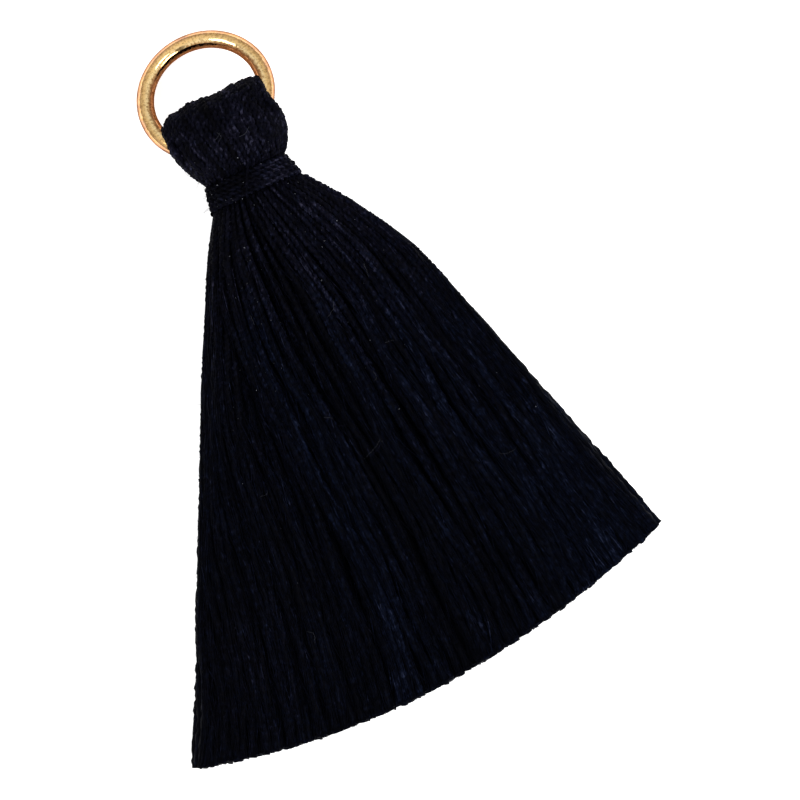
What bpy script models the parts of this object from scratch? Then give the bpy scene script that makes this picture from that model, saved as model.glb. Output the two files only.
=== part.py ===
"""A small yarn tassel that lies flat: a folded hank on a plain wire ring, bound at the neck.

+X runs across the tassel, +Y along its axis towards the ring, and +Z up from the surface it lies on.
The origin is at the middle of its footprint. The tables are in millimetres and use two measures: down,
the distance below the ring's centre along the axis, and across, the distance to the right of the axis.
"""
import math
from collections import namedtuple

import bmesh
import bpy
import numpy as np

MM = 0.001
GAP = 0.3

# The ring: a closed wire ring of 8 mm outside and 1 mm wire, lying tilted with its far side down.
RING_RADIUS = 3.5
WIRE_RADIUS = 0.5
RING_TILT = math.radians(24.3)
RING_LIFT = 0.02
RING_SEGMENTS = 56
WIRE_SEGMENTS = 12

# Where the axis and the ring's centre lie in the footprint.
AXIS_ACROSS = 3.48
RING_DOWN = 15.97

Row = namedtuple("Row", "down left right under top dome belly")

# The folded loops round the ring, down to the groove that the binding sits in. Left and right are
# the outline, under and top the height range. Dome and belly are the roundness of the upper and the
# lower side: 2 is an ellipse, and more is squarer.
HEAD_ROWS = [
    Row(-0.12, -2.25, 2.35, 1.95, 3.35, 2.0, 2.0),
    Row(0.04, -2.85, 2.85, 1.20, 4.10, 2.0, 2.0),
    Row(0.35, -3.12, 3.12, 0.65, 4.60, 2.0, 2.2),
    Row(0.90, -3.32, 3.38, 0.20, 5.05, 2.0, 2.6),
    Row(1.60, -3.42, 3.30, 0.00, 5.32, 2.1, 3.0),
    Row(2.45, -3.26, 3.38, 0.00, 5.42, 2.1, 3.2),
    Row(3.20, -3.05, 3.32, 0.00, 5.34, 2.1, 3.2),
    Row(3.80, -2.82, 3.18, 0.00, 5.12, 2.1, 3.0),
    Row(4.22, -2.62, 2.98, 0.10, 4.75, 2.0, 2.6),
]

# The outside of the binding, at its upper and its lower edge.
BINDING_UPPER = Row(4.66, -2.62, 2.58, 0.20, 4.25, 2.1, 2.4)
BINDING_LOWER = Row(6.50, -3.00, 2.78, 0.20, 4.45, 2.1, 2.4)
BINDING_THICKNESS = 0.5
BINDING_BULGE = 0.12
BINDING_STEPS = 4
BINDING_COLUMNS = 24

# The skirt's outline from the neck down. The left side runs straight, and the right side flares out
# and then falls more steeply.
Outline = namedtuple("Outline", "down left right")
SKIRT_OUTLINE = [
    Outline(6.95, -3.30, 3.05),
    Outline(7.90, -4.02, 3.76),
    Outline(9.05, -4.75, 4.50),
    Outline(11.30, -6.08, 5.74),
    Outline(13.40, -7.35, 6.66),
    Outline(14.70, -8.09, 6.99),
    Outline(36.00, -19.98, 12.12),
]

# The skirt's thickness from the neck (0) to the cut edge (1), and how round its section is.
Thickness = namedtuple("Thickness", "along top dome belly")
SKIRT_THICKNESS = [
    Thickness(0.00, 4.55, 2.0, 3.0),
    Thickness(0.08, 4.45, 2.0, 3.6),
    Thickness(0.25, 3.85, 2.2, 5.0),
    Thickness(0.50, 3.05, 2.5, 7.0),
    Thickness(0.75, 2.40, 2.8, 8.0),
    Thickness(1.00, 1.90, 3.2, 8.0),
]

# The cut edge is an arc, flatter on the right of its lowest point than on the left.
EDGE_LOWEST_DOWN = 35.63
EDGE_LOWEST_ACROSS = -4.2
EDGE_RADIUS_LEFT = 43.5
EDGE_RADIUS_RIGHT = 54.0

# The grooves between the main locks of yarn: their place along the cut edge from left (0) to right (1),
# their depth and half width, and how far up the skirt each one starts (0 is the neck).
Groove = namedtuple("Groove", "place depth width start")
GROOVES = [
    Groove(0.11, 0.30, 0.020, 0.45),
    Groove(0.22, 0.30, 0.022, 0.35),
    Groove(0.34, 0.60, 0.026, 0.30),
    Groove(0.54, 0.70, 0.028, 0.04),
    Groove(0.69, 0.40, 0.022, 0.15),
    Groove(0.85, 0.35, 0.020, 0.30),
    Groove(0.95, 0.25, 0.016, 0.45),
]
EDGE_NOTCH = 0.5

# The furrows between the loops on the head, from left (0) to right (1).
HEAD_FURROWS = [0.16, 0.33, 0.48, 0.66, 0.82]
FURROW_DEPTH = 0.16
FURROW_WIDTH = 0.035

# The locks leave the neck bunched to the left and spread to their places as they fall. A lock right of
# the turning place leans the other way, and those at the left side crowd along it.
LEAN = 0.65
LEAN_TURNS_AT = 0.86
SIDE_CROWDING = 0.15
CROWDING_BLEND = 0.04

# How a section is drawn: the height of its widest level as a share of its thickness, and the spread
# of the flat along its underside.
SIDE_LEVEL = 0.45
FLAT_SPREAD = 1.03

# How finely the yarn is divided. The columns stand closer together towards the two sides.
COLUMNS = 54
SKIRT_ROWS = 20
COLUMN_CROWDING = 1.3


def clear_scene():
    for obj in list(bpy.data.objects):
        bpy.data.objects.remove(obj, do_unlink=True)


def make_collection(name):
    collection = bpy.data.collections.new(name)
    bpy.context.scene.collection.children.link(collection)
    return collection


def make_material(name, color, roughness, metallic):
    material = bpy.data.materials.new(name)
    material.use_nodes = True
    shader = material.node_tree.nodes["Principled BSDF"]
    shader.inputs["Base Color"].default_value = (*color, 1.0)
    shader.inputs["Roughness"].default_value = roughness
    shader.inputs["Metallic"].default_value = metallic
    return material


def place(down, across, height):
    """A point of the tassel in metres, from its measures in millimetres."""
    return ((across + AXIS_ACROSS) * MM, (RING_DOWN - down) * MM, height * MM)


def read_table(rows, key, field, value):
    """Read one column of a table at a value of its key column, straight between the rows."""
    keys = [getattr(row, key) for row in rows]
    fields = [getattr(row, field) for row in rows]
    return float(np.interp(value, keys, fields))


def column_places():
    """Places across a section from 0 to 1, closer together at the two sides."""
    places = []
    for index in range(COLUMNS + 1):
        position = 2.0 * index / COLUMNS - 1.0
        bent = math.sin(COLUMN_CROWDING * position) / math.sin(COLUMN_CROWDING)
        places.append(0.5 + 0.5 * bent)
    return places


def rounded(position, power):
    """Height of a unit superellipse at a position from -1 to 1."""
    return max(0.0, 1.0 - abs(position) ** power) ** (1.0 / power)


def section_heights(position, under, top, dome, belly):
    """The lower and upper height of a section at a position from -1 (left) to 1 (right)."""
    side = under + SIDE_LEVEL * (top - under)
    upper = side + (top - side) * rounded(position, dome)
    lower = side - (side - under) * min(1.0, FLAT_SPREAD * rounded(position, belly))
    return lower, upper


def furrow(position, centre, width):
    return math.exp(-((position - centre) / width) ** 2)


def edge_fade(column):
    """1 over the middle of a section and 0 at its two sides."""
    return min(1.0, 6.0 * min(column, 1.0 - column))


def row_point(row, column):
    """The lower and upper point of a head row at a column from 0 to 1."""
    across = row.left + (row.right - row.left) * column
    lower, upper = section_heights(2.0 * column - 1.0, row.under, row.top, row.dome, row.belly)
    sunk = sum(furrow(column, centre, FURROW_WIDTH) for centre in HEAD_FURROWS)
    upper -= FURROW_DEPTH * sunk * edge_fade(column)
    return place(row.down, across, lower), place(row.down, across, upper)


def cut_edge(across):
    """How far down the cut edge lies at a distance across."""
    radius = EDGE_RADIUS_LEFT if across < EDGE_LOWEST_ACROSS else EDGE_RADIUS_RIGHT
    offset = across - EDGE_LOWEST_ACROSS
    return EDGE_LOWEST_DOWN - radius + math.sqrt(radius ** 2 - offset ** 2)


def groove_column(groove, along):
    """Where a groove runs across the skirt at a height from the neck (0) to the cut edge (1)."""
    lean = LEAN * (1.0 - groove.place / LEAN_TURNS_AT) * (1.0 - along) ** 2
    column = groove.place - lean
    crowded = SIDE_CROWDING * groove.place
    blend = math.hypot(column - crowded, CROWDING_BLEND)
    return 0.5 * (column + crowded + blend)


def skirt_point(column, along, sunk):
    """The lower and upper point of the skirt, with the given depth of groove in its upper side."""
    start = SKIRT_OUTLINE[0].down
    down = start + along * (EDGE_LOWEST_DOWN - start)
    for _ in range(4):
        left = read_table(SKIRT_OUTLINE, "down", "left", down)
        right = read_table(SKIRT_OUTLINE, "down", "right", down)
        across = left + (right - left) * column
        end = cut_edge(across) - EDGE_NOTCH * sunk
        down = start + along * (end - start)
    top = read_table(SKIRT_THICKNESS, "along", "top", along)
    dome = read_table(SKIRT_THICKNESS, "along", "dome", along)
    belly = read_table(SKIRT_THICKNESS, "along", "belly", along)
    lower, upper = section_heights(2.0 * column - 1.0, 0.0, top, dome, belly)
    return place(down, across, lower), place(down, across, upper - sunk)


def groove_depth(column, along):
    """How deep the grooves are at a point of the skirt."""
    depth = 0.0
    for groove in GROOVES:
        grown = min(1.0, max(0.0, (along - groove.start) / 0.25))
        shape = furrow(column, groove_column(groove, along), groove.width)
        depth += groove.depth * grown * shape
    return depth * edge_fade(column)


def close_loop(lower_and_upper):
    """Turn a row of lower and upper points into one loop: over the top, then back underneath."""
    over = [upper for lower, upper in lower_and_upper]
    back = [lower for lower, upper in lower_and_upper[1:-1]]
    return over + back[::-1]


def join_loops(shape, first, second):
    """Fill the strip between two closed loops of equally many corners."""
    count = len(first)
    for index in range(count):
        after = (index + 1) % count
        shape.faces.new((first[index], first[after], second[after], second[index]))


def cap_loop(shape, loop):
    """Close a loop made by close_loop with strips from its upper to its lower side."""
    half = len(loop) // 2
    for index in range(half):
        corners = [loop[index], loop[index + 1], loop[-index - 1], loop[-index]]
        shape.faces.new(list(dict.fromkeys(corners)))


def make_solid(name, loops, closes_on_itself, material, collection):
    """Skin closed loops into one solid, whose ends are capped or meet each other."""
    shape = bmesh.new()
    rings = [[shape.verts.new(point) for point in loop] for loop in loops]
    for first, second in zip(rings, rings[1:]):
        join_loops(shape, first, second)
    if closes_on_itself:
        join_loops(shape, rings[-1], rings[0])
    else:
        cap_loop(shape, rings[0])
        cap_loop(shape, rings[-1])
    bmesh.ops.recalc_face_normals(shape, faces=shape.faces)
    mesh = bpy.data.meshes.new(name)
    shape.to_mesh(mesh)
    shape.free()
    mesh.materials.append(material)
    solid = bpy.data.objects.new(name, mesh)
    collection.objects.link(solid)
    return solid


def shrink(row, amount):
    """The same section, drawn in on every side."""
    return row._replace(
        left=row.left + amount,
        right=row.right - amount,
        under=row.under + amount,
        top=row.top - amount,
    )


def neck_rows():
    """The two ends of the groove in the hank under the binding, clear of it on every side."""
    inset = BINDING_THICKNESS + GAP
    upper = shrink(BINDING_UPPER, inset)
    lower = shrink(BINDING_LOWER, inset)
    return [upper._replace(down=upper.down - GAP), lower._replace(down=lower.down + GAP)]


def make_hank(collection, material, ring_cutter):
    """The folded hank of yarn: its head round the ring, its neck and its fanned skirt."""
    columns = column_places()
    loops = []
    for row in HEAD_ROWS + neck_rows():
        loops.append(close_loop([row_point(row, column) for column in columns]))
    for index in range(SKIRT_ROWS + 1):
        along = index / SKIRT_ROWS
        points = [skirt_point(column, along, groove_depth(column, along)) for column in columns]
        loops.append(close_loop(points))
    hank = make_solid("yarn_hank", loops, False, material, collection)
    tunnel = hank.modifiers.new("ring_tunnel", "BOOLEAN")
    tunnel.operation = "DIFFERENCE"
    tunnel.object = ring_cutter
    return hank


def band_outline(row):
    """The closed outline of one row of the binding."""
    points = []
    for index in range(BINDING_COLUMNS + 1):
        column = 0.5 - 0.5 * math.cos(math.pi * index / BINDING_COLUMNS)
        across = row.left + (row.right - row.left) * column
        lower, upper = section_heights(2.0 * column - 1.0, row.under, row.top, row.dome, row.belly)
        points.append((place(row.down, across, lower), place(row.down, across, upper)))
    return close_loop(points)


def make_binding(collection, material):
    """The band of binding yarn round the neck, a little fuller at its middle."""
    outside = []
    inside = []
    for step in range(BINDING_STEPS + 1):
        share = step / BINDING_STEPS
        row = Row(*(a + (b - a) * share for a, b in zip(BINDING_UPPER, BINDING_LOWER)))
        bulge = BINDING_BULGE * (1.0 - (2.0 * share - 1.0) ** 2)
        outside.append(band_outline(shrink(row, -bulge)))
        inside.append(band_outline(shrink(row, BINDING_THICKNESS)))
    around = zip(*(outside + inside[::-1]))
    return make_solid("neck_binding", list(around), True, material, collection)


def make_ring(name, wire_radius, collection):
    """A torus on the ring's tilted circle, with the given wire radius."""
    centre_height = RING_LIFT + WIRE_RADIUS + RING_RADIUS * math.sin(RING_TILT)
    bpy.ops.mesh.primitive_torus_add(
        major_segments=RING_SEGMENTS,
        minor_segments=WIRE_SEGMENTS,
        major_radius=RING_RADIUS * MM,
        minor_radius=wire_radius * MM,
        location=place(0.0, 0.0, centre_height),
        rotation=(-RING_TILT, 0.0, 0.0),
    )
    ring = bpy.context.active_object
    ring.name = name
    for owner in list(ring.users_collection):
        owner.objects.unlink(ring)
    collection.objects.link(ring)
    return ring


def main():
    clear_scene()
    parts = make_collection("tassel")
    cutters = make_collection("cutters")
    navy_yarn = make_material("navy_yarn", (0.006, 0.006, 0.012), 0.9, 0.0)
    gold_wire = make_material("gold_wire", (0.90, 0.66, 0.38), 0.25, 1.0)

    ring = make_ring("ring", WIRE_RADIUS, parts)
    ring.data.materials.append(gold_wire)
    ring.data.shade_smooth()

    cutter = make_ring("ring_cutter", WIRE_RADIUS + GAP, cutters)
    cutter.hide_render = True
    cutter.display_type = "WIRE"

    hank = make_hank(parts, navy_yarn, cutter)
    binding = make_binding(parts, navy_yarn)

    holder = bpy.data.objects.new("tassel", None)
    parts.objects.link(holder)
    for piece in (ring, hank, binding):
        piece.parent = holder


main()
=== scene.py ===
"""The looks of a small navy yarn tassel on a gold-coloured wire ring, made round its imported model.

Every strand of yarn is modelled as a twisted two-ply tube. Tables and working arrays are in
millimetres, and use the tassel's own measures: down, the distance below the ring's centre along the
axis, across, the distance to the right of the axis, and height above the surface it lies on.
"""
import math

import bpy
import numpy as np
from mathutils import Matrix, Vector


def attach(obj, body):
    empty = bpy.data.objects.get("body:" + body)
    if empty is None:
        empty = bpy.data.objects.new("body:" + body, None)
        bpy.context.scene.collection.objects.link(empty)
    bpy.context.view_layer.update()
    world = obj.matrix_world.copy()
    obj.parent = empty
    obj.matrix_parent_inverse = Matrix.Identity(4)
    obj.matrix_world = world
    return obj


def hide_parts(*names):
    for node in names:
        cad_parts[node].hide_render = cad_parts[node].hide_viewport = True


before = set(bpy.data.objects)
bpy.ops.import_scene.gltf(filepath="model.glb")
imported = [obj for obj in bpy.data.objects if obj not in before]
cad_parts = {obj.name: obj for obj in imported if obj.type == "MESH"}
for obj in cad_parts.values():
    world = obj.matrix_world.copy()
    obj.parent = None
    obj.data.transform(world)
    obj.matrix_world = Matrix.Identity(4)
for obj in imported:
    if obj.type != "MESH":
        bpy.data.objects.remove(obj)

MM = 0.001
FULL_TURN = 2.0 * math.pi
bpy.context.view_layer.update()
random = np.random.default_rng(28)

# Where the axis and the ring's centre lie in the frame.
AXIS_ACROSS = 3.48
RING_DOWN = 15.97

# ---------------------------------------------------------------- the yarn itself

STRAND_RADIUS = 0.215
RING_SPACING = 0.109
# Rows of a strand that are kept out of every so many: where it hardly twists, and where it is hidden.
PLAIN_STEP = 2
HIDDEN_STEP = 10
HARDLY_TWISTS = 0.4
# The plies don't turn in gaps wider than this many times the spacing.
WIDE_GAP = 2.5
# The length in which the two plies turn once about each other, and how much it varies.
PLY_TURN = 0.74
PLY_TURN_SPREAD = 0.16
# Once round a strand of two plies pressed together: how far it is drawn in, as shares of PLY_DEPTH.
PLY_SHAPE = np.array([0.0, 0.22, 1.0, 0.22, 0.0, 0.22, 1.0, 0.22])
PLY_DEPTH = 0.32
UNEVEN_RADIUS = 0.08
UNEVEN_LIMITS = (-2.0, 1.5)
UNEVEN_PATH = 0.016
FIBRES_A_MM = 0.85
CURVE_SAMPLES = 12

# ---------------------------------------------------------------- the ring's place

RING_RADIUS = 3.5
WIRE_RADIUS = 0.5
RING_LIFT = 0.02
RING_TILT = math.radians(24.3)
RING_HEIGHT = RING_LIFT + WIRE_RADIUS + RING_RADIUS * math.sin(RING_TILT)

# ---------------------------------------------------------------- the skirt

SKIRT_STRANDS = 272
SKIRT_LAYERS = 4
# So many of them lie evenly side by side underneath, and the rest are bunched on top.
BED_STRANDS = 84
BED_LEVEL = 0.12
# How far a strand's place, and its level in its layer, may be from an even spread.
PLACE_SPREAD = 0.45
LEVEL_RANGE = (0.1, 0.9)
SKIRT_ROWS = 50
SKIRT_PIECES = 5
SKIRT_START = 6.95
# The strands run on up under the binding, which is a negative share of the skirt.
UNDER_BINDING = -0.05
SKIRT_ALONG = np.linspace(UNDER_BINDING, 1.0, SKIRT_ROWS)
# How far strands are drawn together into locks and into small bunches, as shares of their distance.
LOCK_PULL = 0.06
BUNCHES = 46
BUNCH_PULL = 0.30
# The steps in which the first row and the others settle, how far a row is drawn back to its aim, the
# distance in radii below which strands push each other apart, and how often their paths are eased.
FIRST_STEPS = 160
ROW_STEPS = 24
AIM_PULL = 0.08
CLOSEST = 1.86
EASINGS = 3
CUT_SPREAD = 0.015
# Each strand waves by itself: how long its waves are, and how far they go across and up.
WAVE_LENGTHS = (5.0, 13.0)
WAVE_ACROSS = 0.08
WAVE_UP = 0.05
# Neighbouring strands wander sideways and rise and dip together: how far, and how many random values
# there are across and along the skirt.
MEANDER = 0.20
MEANDERS = (34, 8)
HUMP = 0.13
HUMPS = (48, 9)
# Where along the skirt that begins and is full, and where the bunches form.
WANDER_RANGE = (0.0, 0.25)
BUNCH_RANGE = (0.05, 0.9)
# How much of its full radius a strand has, as it is squeezed under the binding.
STRAND_ROOM = ([-0.05, 0.0, 0.08, 0.25], [0.64, 0.70, 0.84, 1.0])
# Where across a strand, in radii, it is looked at to see whether others cover it.
SIGHT_LINES = (-0.85, -0.4, 0.0, 0.4, 0.85)
TINY = 1e-6

# The skirt's outline: down, left and right.
SKIRT_OUTLINE = [
    (5.50, -2.35, 2.10), (6.12, -2.58, 2.24), (6.34, -2.96, 2.50), (6.50, -3.06, 2.74),
    (6.68, -3.17, 2.86), (7.02, -3.42, 3.11), (7.90, -4.02, 3.76), (9.05, -4.75, 4.50),
    (11.30, -6.08, 5.74), (13.40, -7.35, 6.66), (14.70, -8.09, 6.99), (36.00, -19.98, 12.12),
]
# Its section: the share along it, the lowest and highest height, and how square its top and bottom are.
SKIRT_THICKNESS = [
    (-0.050, 0.66, 3.72, 2.0, 2.0),
    (-0.018, 0.62, 3.95, 2.0, 2.2),
    (-0.008, 0.25, 4.35, 2.0, 2.5),
    (0.020, 0.00, 4.55, 2.0, 3.0),
    (0.080, 0.00, 4.45, 2.0, 3.6),
    (0.250, 0.00, 3.90, 2.2, 5.0),
    (0.500, 0.00, 3.10, 2.5, 7.0),
    (0.750, 0.00, 2.45, 2.8, 8.0),
    (1.000, 0.00, 1.95, 3.2, 8.0),
]
SIDE_LEVEL = 0.45
FLAT_SPREAD = 1.03
FAN_PASSES = 4

# The cut edge: two arcs that meet where it is lowest.
EDGE_LOWEST_DOWN = 35.71
EDGE_LOWEST_ACROSS = -4.2
EDGE_RADIUS_LEFT = 43.5
EDGE_RADIUS_RIGHT = 54.0

# The locks leave the neck bunched to the left and spread to their places as they fall.
LEAN = 0.65
LEAN_TURNS_AT = 0.86
SIDE_CROWDING = 0.22
CROWDING_BLEND = 0.04

# Grooves between the main locks: place along the cut edge, depth, half width and where they start.
GROOVES = [
    (0.11, 0.30, 0.020, 0.45), (0.22, 0.30, 0.022, 0.35), (0.34, 0.60, 0.026, 0.30),
    (0.54, 0.70, 0.028, 0.04), (0.69, 0.40, 0.022, 0.15), (0.85, 0.35, 0.020, 0.30),
    (0.95, 0.25, 0.016, 0.45),
]
GROOVE_FADE = 0.25


def read_table(rows, value):
    """The later columns of a table at values of its first, straight between the rows."""
    key, *columns = zip(*rows)
    return [np.interp(value, key, column) for column in columns]


def running(steps):
    """The running total of steps, from zero."""
    return np.concatenate([[0.0], np.cumsum(steps)])


def ease(values):
    """Ease all values but the first and the last towards their neighbours."""
    values[1:-1] = 0.25 * values[:-2] + 0.5 * values[1:-1] + 0.25 * values[2:]


def bridge(height):
    """Lift heights that lie lower than the middle of their neighbours."""
    height[1:-1] = np.maximum(height[1:-1], 0.5 * (height[:-2] + height[2:]))


def smooth_step(low, high, value):
    share = np.clip((value - low) / (high - low), 0.0, 1.0)
    return share * share * (3.0 - 2.0 * share)


def signed_power(value, power):
    return math.copysign(abs(value) ** power, value)


def rounded(position, power):
    """Height of a unit superellipse at positions from -1 to 1."""
    return np.maximum(0.0, 1.0 - np.abs(position) ** power) ** (1.0 / power)


def section_heights(position, under, top, dome, belly):
    """The lower and upper height of a domed section at positions across it, from -1 to 1."""
    side = under + SIDE_LEVEL * (top - under)
    lower = side - (side - under) * np.minimum(1.0, FLAT_SPREAD * rounded(position, belly))
    return lower, side + (top - side) * rounded(position, dome)


def cut_edge(across):
    """How far down the cut edge lies at distances across."""
    radius = np.where(across < EDGE_LOWEST_ACROSS, EDGE_RADIUS_LEFT, EDGE_RADIUS_RIGHT)
    return EDGE_LOWEST_DOWN - radius + np.sqrt(radius ** 2 - (across - EDGE_LOWEST_ACROSS) ** 2)


def fan(column, along):
    """Distances across and down of places on the skirt: column from left 0 to right 1, along from
    the neck 0 to the cut edge 1."""
    down = SKIRT_START + along * (EDGE_LOWEST_DOWN - SKIRT_START)
    for _ in range(FAN_PASSES):
        left, right = read_table(SKIRT_OUTLINE, down)
        across = left + (right - left) * column
        down = SKIRT_START + along * (cut_edge(across) - SKIRT_START)
    return across, down


def lean_column(place, along, share=1.0):
    """Where a strand that ends at a place along the cut edge runs across the skirt."""
    lean = share * LEAN * (1.0 - place / LEAN_TURNS_AT) * (1.0 - np.clip(along, 0.0, 1.0)) ** 2
    column = place - lean
    low = SIDE_CROWDING * place
    column = 0.5 * (column + low + np.hypot(column - low, CROWDING_BLEND))
    high = 1.0 - SIDE_CROWDING * (1.0 - place)
    return 0.5 * (column + high - np.hypot(column - high, CROWDING_BLEND))


def groove_depth(column, along):
    """How deep the grooves between the locks are at places on the skirt."""
    total = 0.0
    for place, depth, width, start in GROOVES:
        grown = np.clip((along - start) / GROOVE_FADE, 0.0, 1.0)
        total = total + depth * grown * np.exp(-((column - lean_column(place, along)) / width) ** 2)
    return total


def skirt_heights(column, along):
    """The lower and upper height of the skirt at places on it."""
    position = np.clip(2.0 * column - 1.0, -1.0, 1.0)
    lower, upper = section_heights(position, *read_table(SKIRT_THICKNESS, along))
    return lower, upper - groove_depth(column, along)


def read_lattice(lattice, place, along):
    """A value between a lattice's random ones, which are spread over the skirt's width and length."""
    columns = np.clip(place, 0.0, 1.0) * (lattice.shape[0] - 1.001)
    rows = (along - UNDER_BINDING) / (1.0 - UNDER_BINDING) * (lattice.shape[1] - 1.001)
    column, row = np.floor(columns).astype(int), np.floor(rows).astype(int)
    across, onward = smooth_step(0.0, 1.0, columns - column), smooth_step(0.0, 1.0, rows - row)
    near = lattice[column, row] + across * (lattice[column + 1, row] - lattice[column, row])
    far = lattice[column, row + 1] + across * (lattice[column + 1, row + 1] - lattice[column, row + 1])
    return near + onward * (far - near)


def push_apart(across, height, reach):
    """One step that moves overlapping strands of a row apart."""
    gap_across = across[:, None] - across[None, :]
    gap_height = height[:, None] - height[None, :]
    distance = np.hypot(gap_across, gap_height) + TINY
    overlap = np.maximum(0.0, reach - distance)
    np.fill_diagonal(overlap, 0.0)
    share = 0.5 * overlap / distance
    touching = np.maximum(1.0, (overlap > 0.0).sum(1) * 0.5)
    across += (share * gap_across).sum(1) / touching
    height += (share * gap_height).sum(1) / touching


def keep_inside(across, height, left, right, along, radius):
    """Keep a row's strands between the skirt's left and right edge, and its lower and upper side."""
    np.clip(across, left + radius, right - radius, out=across)
    column = (across - left) / (right - left)
    lower, upper = skirt_heights(column, along)
    middle = 0.5 * (lower + upper)
    low = np.minimum(lower + radius, middle)
    high = np.maximum(upper - radius, middle)
    np.clip(height, low, high, out=height)


def to_middle(place, edges):
    """How far each place is from the middle of the stretch between edges that it falls in."""
    index = np.clip(np.searchsorted(edges, place) - 1, 0, len(edges) - 2)
    return 0.5 * (edges[index] + edges[index + 1]) - place


def lay_skirt(meanders, humps):
    """Lay the strands row by row from the neck, each row settled to push overlapping strands apart.

    Returns the points (rows, strands, 3) as across, down and height, each strand's radius by row, and
    its place along the cut edge.
    """
    bunched = SKIRT_STRANDS - BED_STRANDS
    place = (np.arange(bunched) + 0.5 + random.uniform(-PLACE_SPREAD, PLACE_SPREAD, bunched)) / bunched
    level = (np.arange(bunched) % SKIRT_LAYERS + random.uniform(*LEVEL_RANGE, bunched)) / SKIRT_LAYERS
    place = np.concatenate([place, (np.arange(BED_STRANDS) + 0.5) / BED_STRANDS])
    level = np.concatenate([BED_LEVEL + (1.0 - BED_LEVEL) * level, np.full(BED_STRANDS, 0.5 * BED_LEVEL)])
    locks = np.array([0.0, *(groove[0] for groove in GROOVES), 1.0])
    bunches = np.concatenate([[0.0], np.sort(random.uniform(0.0, 1.0, BUNCHES)), [1.0]])
    pull = LOCK_PULL * to_middle(place, locks) + BUNCH_PULL * to_middle(place, bunches)
    wave_phase = random.uniform(0.0, FULL_TURN, (2, SKIRT_STRANDS))
    wave_length = random.uniform(*WAVE_LENGTHS, (2, SKIRT_STRANDS))
    points = np.empty((SKIRT_ROWS, SKIRT_STRANDS, 3))
    radii = np.empty((SKIRT_ROWS, SKIRT_STRANDS))
    for row, along in enumerate(SKIRT_ALONG):
        radius = STRAND_RADIUS * float(np.interp(along, *STRAND_ROOM))
        grown = float(smooth_step(*BUNCH_RANGE, along))
        begun = float(smooth_step(*WANDER_RANGE, along))
        # Strands that lie higher lean more.
        column = lean_column(place + grown * level * pull, along, 2.0 * level - 0.6)
        across, down = fan(column, along)
        left, right = read_table(SKIRT_OUTLINE, down)
        waves = np.sin((down - SKIRT_START) * FULL_TURN / wave_length + wave_phase)
        across = across + WAVE_ACROSS * grown * level * waves[0]
        across = across + MEANDER * begun * (0.3 + 0.7 * level) * read_lattice(meanders, place, along)
        lower, upper = skirt_heights(column, along)
        height = lower + (upper - lower) * level
        height = height + WAVE_UP * level * waves[1]
        height = height + HUMP * begun * level * read_lattice(humps, place, along)
        aim = np.stack([across, height])
        if row == 0:
            spots = aim.copy()
        else:
            spots += aim - last_aim
            spots += AIM_PULL * (aim - spots)
        last_aim = aim
        for _ in range(ROW_STEPS if row else FIRST_STEPS):
            push_apart(*spots, CLOSEST * radius)
            keep_inside(*spots, left, right, along, radius)
        across, height = spots
        _, down = fan((across - left) / (right - left), along)
        points[row] = np.stack([across, down, height], 1)
        radii[row] = radius
    for _ in range(EASINGS):
        ease(points)
    return points, radii, place


def seen_from(points, radii, side):
    """Which strands show at each row from above (side 1) or from below (side -1)."""
    seen = np.zeros(radii.shape, bool)
    for row, radius in enumerate(radii):
        across, height = points[row, :, 0], side * points[row, :, 2]
        over = height[None, :] > height[:, None]
        for share in SIGHT_LINES:
            near = np.abs((across + share * radius)[:, None] - across[None, :]) < radius[None, :]
            seen[row] |= ~(near & over).any(1)
    return seen


# ---------------------------------------------------------------- tubes

RIGHT = (1.0, 0.0, 0.0)
GRAIN_SPREAD = 90.0
# A tube's strip in the flat map: where it starts and how far it goes, around the tube and along it.
STRIP_AROUND = (0.06, 0.88)
STRIP_ALONG = (0.04, 0.92)
# Its caps: their half sizes, and for each where along the strip it lies and which way its corners run.
CAP_SIZES = (0.4, 0.01)
CAP_PLACES = ((0.02, 1), (0.98, -1))


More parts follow.
